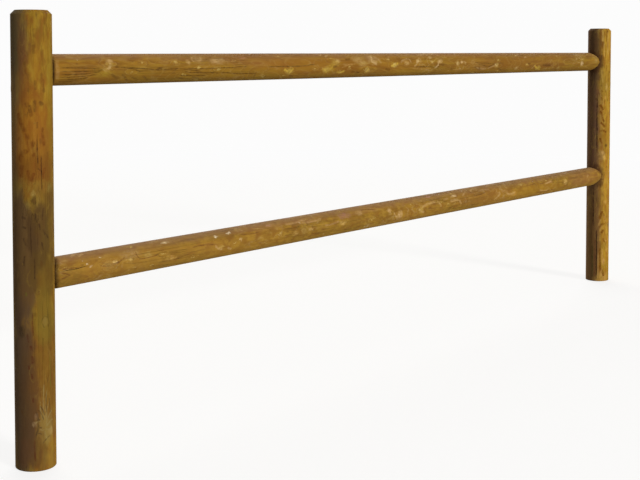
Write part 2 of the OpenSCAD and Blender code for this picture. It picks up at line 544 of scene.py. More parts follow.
def growth_rings(grain, swell, near_knot):
    """Rings counted outwards from a pith, which wanders along the trunk by up to 22 mm in some
    380 mm. The trunk tapers by 6 mm a metre, so that rings run out at the turned surface. Gives
    the share of late wood, and the sharp edge at which a ring ends."""
    put, look = grain.put, grain.look
    trunk = put("Math.MULTIPLY_ADD", grain.height, 1 / 380, grain.seed)
    sway = put("TexNoise", {"W": trunk, "Scale": 1.0, "Detail": 1.0}, noise_dimensions="1D", out="Color")
    from_pith = put("VectorMath.SUBTRACT", grain.point, shaken(put, sway, (44.0, 44.0, 0.0)))
    from_pith = put("VectorMath.MULTIPLY", from_pith, (1.0, 1.0, 0.0))
    from_pith = put("VectorMath.LENGTH", from_pith, out="Value")
    rings = put("Math.MULTIPLY_ADD", grain.noise((38, 260), 1.2), look["ring_waver"], from_pith)
    rings = put("Math.MULTIPLY_ADD", grain.height, 0.006, rings)
    rings = put("Math.DIVIDE", put("Math.ADD", rings, swell), look["ring_width"])
    share = put("Math.FRACT", rings)
    lot = put("TexWhiteNoise", {"W": put("Math.FLOOR", rings)}, noise_dimensions="1D")
    late = put("ValToRGB", share)
    ramp = late.node.color_ramp
    ramp.interpolation = "EASE"
    for end in ramp.elements:
        end.color = (0.5, 0.5, 0.5, 1)
    for place, level in ((0.15, 0.0), (0.45, 0.15), (0.7, 0.6), (0.85, 1.0)):
        ramp.elements.new(place).color = (level, level, level, 1)
    late = put("Math.MULTIPLY", late, put("MapRange", lot, 0.0, 1.0, 0.45, 1.0))
    figure = put("MapRange", grain.noise((60, 230), 1.0, 3.0), 0.4, 0.62, look["figure"], 1.0)
    late = put("Math.MULTIPLY", late, put("Math.MAXIMUM", figure, near_knot))
    edge = put("MapRange", share, 0.9, 0.98, **SMOOTH)
    return late, put("Math.MAXIMUM", edge, put("MapRange", share, 0.02, 0.12, 1.0, 0.0))


def patches(grain):
    """Tones laid over the wood in patches: a rail's top and underside tinted as painted light, patches
    placed by a look, which are stains except where the look calls them painted shade, and dark specks.
    Small patches are torn. Gives coats.
    """
    put, look, radius = grain.put, grain.look, grain.radius
    # A rail's top takes a pink-grey tint and its underside a lighter gold: partly sun bleaching, partly
    # painted light from the sky above and the ground below.
    for side, tone, near, force in look["sides"]:
        sided = put("VectorMath.DOT_PRODUCT", grain.patch_point, side, out="Value")
        yield put("MapRange", sided, near * radius, radius, 0.0, force), tone
    for height, turn, tall, wide, tone, force, soft in look["patches"]:
        small = tall <= look["small_patch"]
        off = put("VectorMath.SUBTRACT", grain.knot_point if small else grain.patch_point,
                  on_surface(radius, height, turn))
        off = put("VectorMath.LENGTH", grain.per((wide, tall), off), out="Value")
        share = put("MapRange", off, 1 + soft, 1 - soft, 0.0, force, **LEAN)
        yield put("Math.MULTIPLY", share, grain.torn) if small else share, tone
    speck, lot = grain.strewn(grain.per((17, 30), grain.knot_point), 2)
    lot = put("MapRange", lot, 0.45, 1.0, 0.0, look["speck_force"])
    yield put("Math.MULTIPLY", put("MapRange", speck, 0.32, 0.08, **SMOOTH), lot), look["speck"]


def grain_lines(grain, blotches):
    """Pale lines strewn in zones, and the lines that stand out, which are drawn on the surface
    unrolled: mm round the timber from its front, and mm along it. Gives coats."""
    put, look, radius = grain.put, grain.look, grain.radius
    squiggle = grain.winding((22, 34), 1.5, 6.0, grain.patch_point)
    squiggle = put("MapRange", squiggle, 0.0, 0.05, 1.0, 0.0)
    for gate in (
        put("MapRange", grain.noise((70, 190), 1.0, 8.0), 0.47, 0.58, 0.0, look["squiggle_force"]),
        put("MapRange", blotches, 0.44, 0.58, 1.0, 0.0),
        put("MapRange", grain.height, look["smooth_to"], look["smooth_to"] + 300, 0.3, 1.0),
    ):
        squiggle = put("Math.MULTIPLY", squiggle, gate)
    yield squiggle, look["squiggle"]

    front = put("VectorRotate", grain.moved((14, 60), 6.0, (6.0, 6.0, 10.0)),
                {"Angle": -math.radians(look["front"])}, rotation_type="Z_AXIS")
    front_x, front_y, height = put("SeparateXYZ", front).node.outputs
    unrolled = put("Math.MULTIPLY", put("Math.ARCTAN2", front_y, front_x), radius)
    unrolled = put("CombineXYZ", unrolled, height, 0.0)
    for tone, force, lines in look["strokes"]:
        shown = 0.0
        for *ends, bow, width in lines:
            start, end = [Vector((radius * math.radians(line_turn - look["front"]), line_height, 0.0))
                          for line_height, line_turn in (ends[:2], ends[2:])]
            run = end - start
            aside = Vector((run.y, -run.x, 0.0)).normalized()
            shown = put("Group", {
                "Point": unrolled, "Start": start, "Run": run, "Measure": run / run.length_squared,
                "Bow": aside * 4 * bow, "Width": width, "Shown": shown}, node_tree=stroke_group)
        yield put("Math.MULTIPLY", put("Math.MULTIPLY", shown, grain.torn), force), tone


def joint_shade_and_dirt(grain):
    """Dark where the timber meets the left post: dirt and damp, and painted contact shade in the seat.
    Gives a coat.
    """
    put, look = grain.put, grain.look
    beside = put("VectorMath.SUBTRACT", grain.on_object, (look["joint"], 0.0, 0.0))
    beside = put("VectorMath.MULTIPLY", beside, (1 / MM, 1 / MM, 0.0))
    beside = put("VectorMath.LENGTH", beside, out="Value")
    touching = look["joint_radius"] + 1.0
    out_of_reach = look["joint_radius"] + look["shade_and_dirt_reach"]
    yield put("MapRange", beside, out_of_reach, touching, 0.0, look["shade_and_dirt_force"], **SMOOTH), "#24160C"


def pressure_treated_pine(name, middle, turn, radius, seed, look):
    """Turned pine, impregnated under pressure: growth rings round a wandering pith, bent by the
    knots, so that the turned surface shows soft flames and islands of late wood. Damp and dust
    have since coloured it in patches, and some coats are painted light and shade: shade on a
    post's side away from the key light, in cuts and at joints, sky and ground light on a rail's
    top and underside, and highlights on proud knots. Sizes in mm. A coat is a share and a tone."""
    material = bpy.data.materials.new(name)
    grain = Grain(material, middle, turn, radius, seed, look)
    put = grain.put
    swell, heart, pin_near, pin_heart = branches(grain)
    near_knot = put("MapRange", heart, 1.5, 4.5, 1.0, 0.0)
    late, edge = growth_rings(grain, swell, near_knot)

    # Fibres: streaks along the grain, which the knots turn aside, and hair checks.
    along = put("VectorMath.ADD", grain.point, put("CombineXYZ", swell, swell, 0.0))
    streaks = grain.noise((7, 130), 3.0, place=along)
    fibres = grain.noise((1.4, 30), 2.0, place=along)
    mottle = grain.noise(look["mottle_grain"], 3.0, 14.0, 0.6, place=along)
    blotches = grain.noise((30, 70), 4.0, 5.0, 0.6)
    tints = grain.noise((80, 330), 3.0, 9.0)
    hairs = put("MapRange", grain.winding((10, 420), 1.0, 0.0, along), 0.003, 0.011, 1.0, 0.0, **SMOOTH)
    hairs = put("Math.MULTIPLY", hairs, put("MapRange", tints, 0.5, 0.58))

    # Nicks torn by the cutters, pale inside.
    nick_place = grain.per((13, 20), grain.point)
    frayed = put("TexNoise", {"Vector": nick_place, "Scale": 4.0, "Detail": 1.0}, out="Color")
    frayed = put("VectorMath.SCALE", frayed, {"Scale": 0.6})
    nick, lot = grain.strewn(put("VectorMath.ADD", nick_place, frayed), 1)
    nick = put("MapRange", nick, 0.22, 0.1, 0.0, 0.8, **SMOOTH)
    nick = put("Math.MULTIPLY", nick, put("Math.GREATER_THAN", lot, 1 - look["fleck_share"]))

    # Knots: a resin-pale ring round a brown heart, and pale lines where a ring's edge runs out. The pale
    # pin hearts and the rings round knots are partly painted highlights, as if proud knots caught the
    # light.
    light = put("MapRange", pin_near, 0.0, 0.8, look["edge_far"], look["edge_near"])
    light = put("Math.MAXIMUM", light, put("Math.MULTIPLY", near_knot, look["edge_near"]))
    light = put("Math.MULTIPLY", light, edge)
    halo = put("MapRange", heart, 0.9, 2.6, look["halo_force"], 0.0, **SMOOTH)
    halo = put("Math.MULTIPLY", halo, put("MapRange", blotches, 0.35, 0.6, 0.35, 1.0))
    for glint in (halo, put("Math.MULTIPLY", pin_heart, look["pin_force"])):
        light = put("Math.MAXIMUM", light, glint)

    # The wood itself, then the coats on it. End grain drinks more. The walls of checks and bores are
    # darkened too: partly damp, partly painted shade in those recesses.
    streaked = put("MapRange", streaks, 0.3, 0.7, 1 - look["streak"], 1 + look["streak"])
    streaked = put("Math.MULTIPLY", streaked, put("MapRange", fibres, 0.25, 0.75, 0.91, 1.09))
    wood = put("Mix", {0: late, 6: linear(look["early"]), 7: linear(look["late"])}, data_type="RGBA", out=2)
    wood = put("VectorMath.SCALE", wood, {"Scale": streaked})
    facing = put("VectorMath.DOT_PRODUCT", put("TexCoord", out="Normal"), look["length_side"], out="Value")
    wall = put("Attribute", attribute_name="wall", out="Fac")
    coats = (
        (put("MapRange", tints, 0.42, 0.62, 0.0, look["olive_force"]), look["olive"]),
        (put("MapRange", blotches, 0.5, 0.66, 0.0, look["brown_force"], **SMOOTH), look["brown"]),
        (put("MapRange", mottle, 0.51, 0.64, 0.0, look["mottle_force"]), look["ruddy"]),
        (put("MapRange", mottle, 0.48, 0.36, 0.0, look["mottle_force"]), look["golden"]),
        *patches(grain),
        *grain_lines(grain, blotches),
        *(joint_shade_and_dirt(grain) if "joint" in look else ()),
        (light, look["pale"]),
        (put("MapRange", heart, 1.05, 0.45, 0.0, look["core_force"], **SMOOTH), look["knot"]),
        (nick, look["fleck"]),
        (put("Math.MULTIPLY", hairs, look["hair_force"]), "#2E2113"),
        (put("MapRange", put("Math.ABSOLUTE", facing), 0.75, 0.95, 0.0, 0.45), "#54422A"),
        # Walls of checks and bores: damp and painted shade.
        (put("Math.MULTIPLY", wall, 0.8), "#3A2A18"),
    )
    for share, tone in coats:
        wood = put("Mix", {0: share, 6: wood, 7: linear(tone)}, data_type="RGBA", out=2)

    # Relief in mm: late wood stands up, fibres are rough, nicks and hair checks are sunk.
    relief = put("Math.MULTIPLY", late, 0.18)
    for layer, lift in ((fibres, 0.35), (streaks, 0.5), (nick, -0.4), (hairs, -0.8)):
        relief = put("Math.MULTIPLY_ADD", layer, lift, relief)
    put("OutputMaterial", put("BsdfPrincipled", {
        "Base Color": wood, "Roughness": put("MapRange", late, 0.0, 1.0, 0.88, 0.7), "IOR": 1.5,
        "Specular IOR Level": 0.12,
        "Normal": put("Bump", {"Strength": 1.0, "Distance": MM, "Height": relief})}))
    return material


def worked_timber(name, look, start, bores, sizes):
    """A timber of these sizes with the look's knots and checks, and with bores at these places
    and turns. The look counts its heights in mm, and the timber's foot is at start."""

    def spots(kind):
        """The places on the surface of all that the look has of this kind."""
        return [on_surface(sizes["Radius"], (h - start) * MM, t) for h, t, *_ in look[kind]]

    helpers = {
        "Knots": markers("knots", spots("knots"), size=[size * MM for h, t, size, lift in look["knots"]]),
        "Check places": markers(
            "checks", spots("checks"),
            turn=[(math.radians(lean), 0, math.radians(t)) for h, t, l, w, d, lean in look["checks"]],
            size=[(d * MM, w * MM, l * MM) for h, t, l, w, d, lean in look["checks"]]),
        "Bore places": markers("bores", [place for place, _ in bores], turn=[turn for _, turn in bores]),
    }
    made = grown(name, turned_timber, {
        **sizes, **helpers, "Edge round": EDGE_ROUND, "Check wedge": wedge, "Bore cutter": bore_cutter})
    for helper in helpers.values():
        bpy.data.objects.remove(helper)
    return made


knot_group = branch_knot()
stroke_group = grain_stroke()

# What the wood of both posts looks like. Shares and forces run from 0 to 1, and the rest is in mm.
# Each post's own look adds the turn of its front, in degrees.
POST_LOOK = {
    "ring_width": 6, "ring_waver": 26, "figure": 0.1, "pin_gap": 90, "pin_swell": 4,
    "knot_fray": 11, "patch_fray": 34, "small_patch": 26, "streak": 0.2,
    "early": "#9E7120", "late": "#784818", "olive": "#8A7722", "olive_force": 0.45,
    "brown": "#71481A", "brown_force": 0.5, "sides": (),
    "hair_force": 0.22, "ruddy": "#87511A", "golden": "#A8852A", "mottle_force": 0.45,
    "mottle_grain": (16, 40), "speck": "#5A3A14", "speck_force": 0.6,
    "squiggle": "#A4843E", "squiggle_force": 0.2,
    "pale": "#96782E", "edge_far": 0, "edge_near": 0.3, "halo_force": 0.5,
    "pin_force": 0, "knot": "#5E4018", "core_force": 0.7, "fleck": "#C8A85C", "fleck_share": 0.002,
    "length_side": (0, 0, 1), "smooth_to": -300,
}

# What each post has of its own. Heights are from the ground, and turns are degrees round the axis.
# - knots: height, turn, size, lift
# - checks: height, turn, length, width, depth, lean
# - patches: height, turn, half height, half width, tone, force, softness
# - strokes: tone, force, and lines: from height, from turn, to height, to turn, bow, half width
LEFT_POST_LOOK = {
    "front": 233, "mottle_force": 0.6,
    "knots": (
        (660, 235, 8, 1.2), (440, 245, 3, 1), (860, 60, 11, 1), (520, 20, 9, 1), (250, 110, 12, 1),
        (930, 150, 8, 1),
    ),
    "checks": (
        (726, 257, 92, 1.2, 10, 1), (796, 246, 70, 1, 9, 0), (930, 60, 340, 2.2, 14, -2),
        (330, 20, 260, 1.8, 10, 1), (560, 130, 300, 2, 12, 2),
    ),
    "patches": (
        # The first patch greys and darkens the whole side turned away from the key light: painted shade.
        (560, 150, 900, 40, "#7E6A46", 0.7, 0.4), (1062, 181, 118, 33, "#564A32", 0.75, 0.4),
        (990, 208, 100, 13, "#7A4A24", 0.55, 0.5), (800, 235, 105, 52, "#9A5C1A", 0.55, 0.35),
        (760, 284, 110, 24, "#82561E", 0.5, 0.5), (735, 236, 40, 60, "#6E4418", 0.5, 0.5),
        (900, 296, 150, 16, "#98801E", 0.3, 0.5), (694, 235, 16, 66, "#8A6C2A", 0.45, 0.5),
        (504, 196, 172, 41, "#644A2C", 0.88, 0.12), (576, 249, 84, 30, "#523A1E", 0.88, 0.22),
        (590, 290, 100, 24, "#644C1F", 0.65, 0.45), (478, 262, 66, 38, "#5C441A", 0.75, 0.4),
        (655, 260, 34, 34, "#5E441E", 0.55, 0.5), (190, 197, 226, 35, "#5A4430", 0.86, 0.26),
        (170, 218, 150, 26, "#5A4026", 0.78, 0.35), (362, 209, 24, 12, "#7C5C2E", 0.7, 0.5),
        (236, 266, 150, 40, "#70491C", 0.65, 0.45), (376, 268, 62, 32, "#7A6622", 0.6, 0.45),
        (345, 195, 15, 9, "#44331C", 0.75, 0.5), (44, 205, 30, 26, "#64442A", 0.6, 0.5),
        (44, 244, 46, 22, "#5E4220", 0.7, 0.45), (28, 276, 30, 18, "#8A6C2E", 0.5, 0.5),
        (662, 235, 11, 7, "#44300F", 0.85, 0.5), (663, 248, 16, 4, "#8E7030", 0.5, 0.6),
        (678, 233, 6, 7, "#A88A48", 0.6, 0.6), (652, 218, 8, 6, "#8C7234", 0.6, 0.6),
        (366, 263, 12, 7, "#8A7236", 0.6, 0.6), (690, 285, 10, 10, "#8E7838", 0.45, 0.6),
        (108, 267, 36, 20, "#907A40", 0.62, 0.6), (95, 280, 9, 7, "#B09050", 0.6, 0.6),
        (118, 230, 6, 5, "#9C8058", 0.6, 0.6), (136, 235, 7, 4, "#8E6E4C", 0.55, 0.6),
    ),
    "strokes": (
        ("#6E3C10", 0.62, (
            (876, 190, 824, 214, 3, 8.6), (826, 213, 780, 226, -2, 8.6), (784, 226, 752, 196, 9, 9.4),
            (808, 231, 766, 235, 1, 7), (736, 220, 708, 229, 2, 7), (728, 238, 706, 228, 2, 6.4),
            (750, 204, 716, 200, 2, 9), (900, 214, 862, 232, -2, 7), (840, 262, 790, 268, 2, 7),
            (740, 268, 712, 262, 1, 6.4),
        )),
        ("#6A4416", 0.45, (
            (1076, 242, 1050, 240, 1, 8), (1036, 238, 1012, 240, 1, 7), (1000, 214, 960, 222, 2, 7),
            (970, 260, 930, 266, 2, 6),
        )),
        ("#A8742A", 0.4, (
            (812, 222, 772, 231, 1, 4.4), (860, 236, 800, 240, -1, 4.4), (800, 204, 768, 208, 2, 5.4),
        )),
        ("#4A2A12", 0.6, (
            (852, 247, 834, 247, 0, 2.6), (812, 246, 746, 247, 1, 2.6), (772, 257, 684, 258, 1, 3),
            (738, 246, 733, 256, 0, 2.4),
        )),
        ("#5C3A14", 0.5, (
            (952, 242, 926, 243, 0, 5.6), (904, 240, 874, 241, 1, 6.4), (892, 226, 872, 228, 0, 6.4),
            (898, 250, 892, 266, 0, 6.4),
        )),
        ("#7A5A18", 0.5, (
            (1110, 262, 1030, 256, 2, 2.4), (1106, 276, 1036, 268, 3, 2.4),
            (1100, 291, 1046, 281, 3, 2.4), (1040, 262, 960, 270, 3, 2.4),
        )),
        ("#341F10", 0.5, (
            (622, 198, 618, 213, 0, 4.4), (598, 200, 594, 214, 0, 4.4), (572, 205, 552, 212, 1, 3.4),
            (592, 260, 578, 268, 0, 4.4), (580, 271, 568, 277, 0, 3.6), (606, 248, 588, 252, 0, 3.8),
            (562, 255, 540, 261, 1, 4), (604, 226, 520, 228, 1, 2.2), (524, 234, 468, 235, 0, 2.4),
            (634, 238, 606, 242, 1, 2.6), (644, 262, 612, 259, 1, 2.6), (530, 208, 500, 206, 1, 4),
        )),
        ("#552A14", 0.6, (
            (447, 245, 433, 245, 0, 4), (392, 229, 330, 230, 1, 3), (338, 212, 316, 216, 0, 4.4),
            (310, 222, 296, 224, 0, 5), (284, 226, 264, 228, 0, 5.4), (262, 214, 250, 217, 0, 4),
            (242, 224, 228, 226, 0, 4), (184, 226, 170, 228, 0, 4.4), (80, 230, 22, 232, 1, 3.2),
        )),
        ("#6C6A20", 0.5, ((290, 279, 196, 280, 1, 2.6), (440, 211, 430, 211, 0, 4))),
        ("#5C4A18", 0.6, (
            (360, 251, 380, 264, -3, 2.6), (378, 262, 372, 274, -1, 2.6), (362, 256, 350, 262, 2, 2.4),
            (384, 272, 356, 280, 2, 2.4),
        )),
        ("#96824E", 0.46, (
            (124, 258, 216, 257, -2, 3.2), (126, 263, 200, 267, -3, 2.8), (124, 255, 174, 247, -3, 2.8),
            (120, 264, 170, 276, -4, 2.8), (112, 262, 144, 284, -3, 3), (108, 262, 122, 290, -2, 3.2),
            (102, 260, 98, 284, 1, 3.4), (98, 258, 76, 266, 1, 3.6), (119, 232, 123, 250, -2, 3),
            (104, 244, 100, 258, 1, 2.8),
        )),
        ("#4C3820", 0.6, (
            (154, 238, 124, 255, -3, 2.2), (162, 246, 134, 258, -2, 2), (192, 263, 140, 266, 1, 2),
            (178, 275, 136, 277, 0, 2), (150, 233, 84, 231, -8, 3), (128, 237, 126, 246, 0, 3.4),
            (108, 237, 106, 251, -1, 2.4), (94, 237, 91, 252, -1, 2.4), (82, 278, 68, 252, 2, 2.2),
        )),
    ),
}
RIGHT_POST_LOOK = {
    "front": 206, "early": "#B28429", "late": "#945C1A", "olive": "#A07F22", "golden": "#C09632",
    "ruddy": "#9E6218", "mottle_force": 0.65, "mottle_grain": (11, 36), "squiggle": "#C4A04C",
    "squiggle_force": 0.35,
    "knots": (
        (604, 246, 5, 1.2), (250, 275, 6, 1), (880, 300, 7, 1), (760, 60, 10, 1), (330, 80, 11, 1),
        (940, 330, 9, 1),
    ),
    "checks": (
        (660, 199, 175, 2.4, 12, 0), (115, 202, 225, 3.2, 14, 0), (820, 40, 300, 2, 12, 2),
        (420, 110, 260, 1.8, 10, -1),
    ),
    "patches": (
        # The first patch darkens the whole side turned away from the key light: painted shade.
        (560, 150, 900, 52, "#705444", 0.8, 0.4), (1020, 185, 150, 30, "#5A452C", 0.7, 0.4),
        # The next two patches are painted shadow on the post round the upper and lower rail noses.
        (974, 184, 50, 40, "#4E3018", 0.7, 0.2), (470, 184, 50, 44, "#4E3018", 0.7, 0.2),
        (190, 150, 240, 50, "#9A7446", 0.8, 0.35), (190, 190, 220, 22, "#7E5A30", 0.7, 0.4),
        (890, 240, 60, 28, "#AC8C30", 0.5, 0.5), (640, 232, 36, 22, "#96681C", 0.5, 0.5),
        (862, 248, 15, 7, "#CCA858", 0.6, 0.6), (870, 264, 10, 7, "#7E5C10", 0.6, 0.6),
        (817, 240, 9, 6, "#CCA04A", 0.7, 0.6), (803, 225, 6, 5, "#C49A4C", 0.55, 0.6),
        (789, 228, 7, 5, "#C4984E", 0.55, 0.6), (695, 220, 8, 6, "#BA8A4A", 0.55, 0.6),
        (604, 246, 9, 6, "#684406", 0.85, 0.5), (562, 222, 20, 16, "#B08E52", 0.65, 0.4),
        (573, 227, 8, 6, "#CCA45C", 0.65, 0.6), (550, 239, 12, 6, "#D8AC54", 0.8, 0.6),
        (556, 211, 6, 7, "#6A4E22", 0.65, 0.6), (352, 246, 10, 8, "#D0A04C", 0.65, 0.6),
        (356, 209, 24, 9, "#6A4C18", 0.5, 0.6), (236, 258, 18, 9, "#CCA240", 0.55, 0.6),
        (160, 240, 16, 18, "#8C6A1C", 0.5, 0.6), (140, 257, 9, 7, "#C49E46", 0.6, 0.6),
        (88, 238, 14, 9, "#D09E56", 0.75, 0.6), (208, 268, 6, 5, "#7A5614", 0.5, 0.6),
        (14, 232, 26, 30, "#C89C50", 0.6, 0.5),
    ),
    "strokes": (
        ("#7A4A0C", 0.85, (
            (786, 211, 762, 232, 1, 9), (758, 212, 738, 229, 2, 8.4), (708, 214, 684, 239, -2, 7.4),
            (662, 207, 660, 250, -9, 7.4), (818, 217, 800, 224, 0, 5.4), (850, 219, 838, 226, 1, 5.4),
            (314, 232, 276, 216, 2, 9), (304, 232, 272, 246, -2, 7), (260, 243, 234, 216, 3, 9.4),
            (230, 241, 212, 226, 2, 8), (192, 235, 174, 245, 1, 6.4), (152, 219, 98, 219, 1, 7),
            (102, 218, 58, 221, -2, 8.4), (64, 220, 20, 241, -3, 8.4), (848, 239, 838, 242, 0, 5.4),
            (740, 222, 708, 236, 2, 6), (640, 214, 612, 222, 1, 7),
        )),
        ("#80560F", 0.6, (
            (1116, 209, 985, 211, 0, 4.4), (1112, 243, 1054, 243, 0, 5), (1052, 235, 985, 238, 0, 4.6),
            (1062, 219, 1030, 219, 0, 6.4), (960, 246, 930, 244, 0, 4.6), (940, 258, 880, 262, 1, 5),
        )),
        ("#D0AA56", 0.5, (
            (1116, 222, 1060, 222, 0, 6.4), (1112, 254, 1000, 252, 0, 6), (1056, 230, 990, 232, 0, 4),
            (940, 220, 880, 226, 1, 4.4),
        )),
        ("#C89850", 0.55, (
            (276, 224, 246, 212, 2, 5), (250, 234, 220, 216, 2, 5.4), (294, 238, 264, 250, -1, 4.6),
            (184, 246, 178, 258, 0, 4.4), (146, 232, 100, 234, 1, 4.6), (60, 232, 24, 224, 1, 5.6),
            (684, 226, 678, 236, 0, 3.6), (132, 211, 16, 210, 0, 4.4),
        )),
        ("#3A1E14", 0.75, (
            (832, 198, 560, 200, 1, 4.4), (436, 184, 238, 184, 1, 4.6), (238, 201, 6, 201, 0, 5),
        )),
        ("#6A3C22", 0.5, ((200, 194, 8, 193, 0, 6),)),
        ("#40461C", 0.5, ((166, 180, 14, 181, 0, 6),)),
    ),
}

for side, post_x, outward, seed, own_look in (
    ("left", left_x, 0, 3.1, LEFT_POST_LOOK),
    ("right", right_x, math.pi, 7.7, RIGHT_POST_LOOK),
):
    look = {**POST_LOOK, **own_look}
    pine = pressure_treated_pine("pressure_treated_pine_" + side + "_post", (-post_x / MM, 0, 0), (0, 0, 0),
                                 post_radius / MM, seed, look)
    bores = [((0, 0, bore_z), (0, 0, outward)) for bore_z in (upper_z, lower_z)]
    post = worked_timber(side + "_post_timber", look, 0, bores, {
        "Radius": post_radius, "Length": post_height, "Foot bevel": ARRIS, "Top bevel": POST_BEVEL,
        "Rows": 330, "Columns": 112, "End row gap": 2.5 * MM, "Unevenness": 0.7 * MM, "Seed": seed,
        "Place": (post_x, 0, 0), "Finish": pine})
    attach(post, "root")
    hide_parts(side + "_post")


# ---- Rails -------------------------------------------------------------------------------------
# Two turned rails of the same treated pine, thinner than the posts. Each end is rounded off on
# the lathe, then hollowed by a cutter as round as the post, so that it closes on it like a saddle.

END_ROUND = 14 * MM
END_ROUND_SIDE = 8 * MM
END_ROUND_START = 20 * MM
END_ROUND_LENGTH = 60 * MM
SEAT_GAP = 0.3 * MM
RAIL_LOOK = {
    "ring_width": 5, "ring_waver": 22, "figure": 0.15, "pin_gap": 75, "pin_swell": 10,
    "knot_fray": 18, "patch_fray": 26, "small_patch": 40, "streak": 0.16, "front": 270,
    "early": "#996D22", "late": "#794E1A", "olive": "#867024", "olive_force": 0.35,
    "brown": "#7A501E", "brown_force": 0.5,
    # sides: the top tinted pink-grey and the underside lighter gold, partly sun bleaching, partly painted
    # sky light and ground light.
    "sides": (((-1, 0, 0), "#946A42", 0.45, 0.66), ((1, 0, 0), "#9A762A", 0.3, 0.4)),
    "hair_force": 0.2, "ruddy": "#80501A", "golden": "#A88228", "mottle_force": 0.6,
    "mottle_grain": (12, 60), "speck": "#63431C", "speck_force": 0.4,
    "squiggle": "#C2A068", "squiggle_force": 0.45,
    "pale": "#C8A85A", "edge_far": 0.04, "edge_near": 0.45, "halo_force": 0.3,
    "pin_force": 0.75, "knot": "#80602A", "core_force": 0.3, "fleck": "#DCC79C", "fleck_share": 0.04,
    "length_side": (1, 0, 0), "smooth_to": -300,
    # joint: the left post's axis. The rails darken near it with dirt and painted contact shade.
    "joint": left_x, "joint_radius": post_radius / MM, "shade_and_dirt_reach": 11, "shade_and_dirt_force": 0.92,
}
# Pale tones for the upper rail's knot spots: pale resin, partly painted highlights where proud knots catch
# the light.
CREAM = "#C6A062"
YELLOW = "#BC9A30"

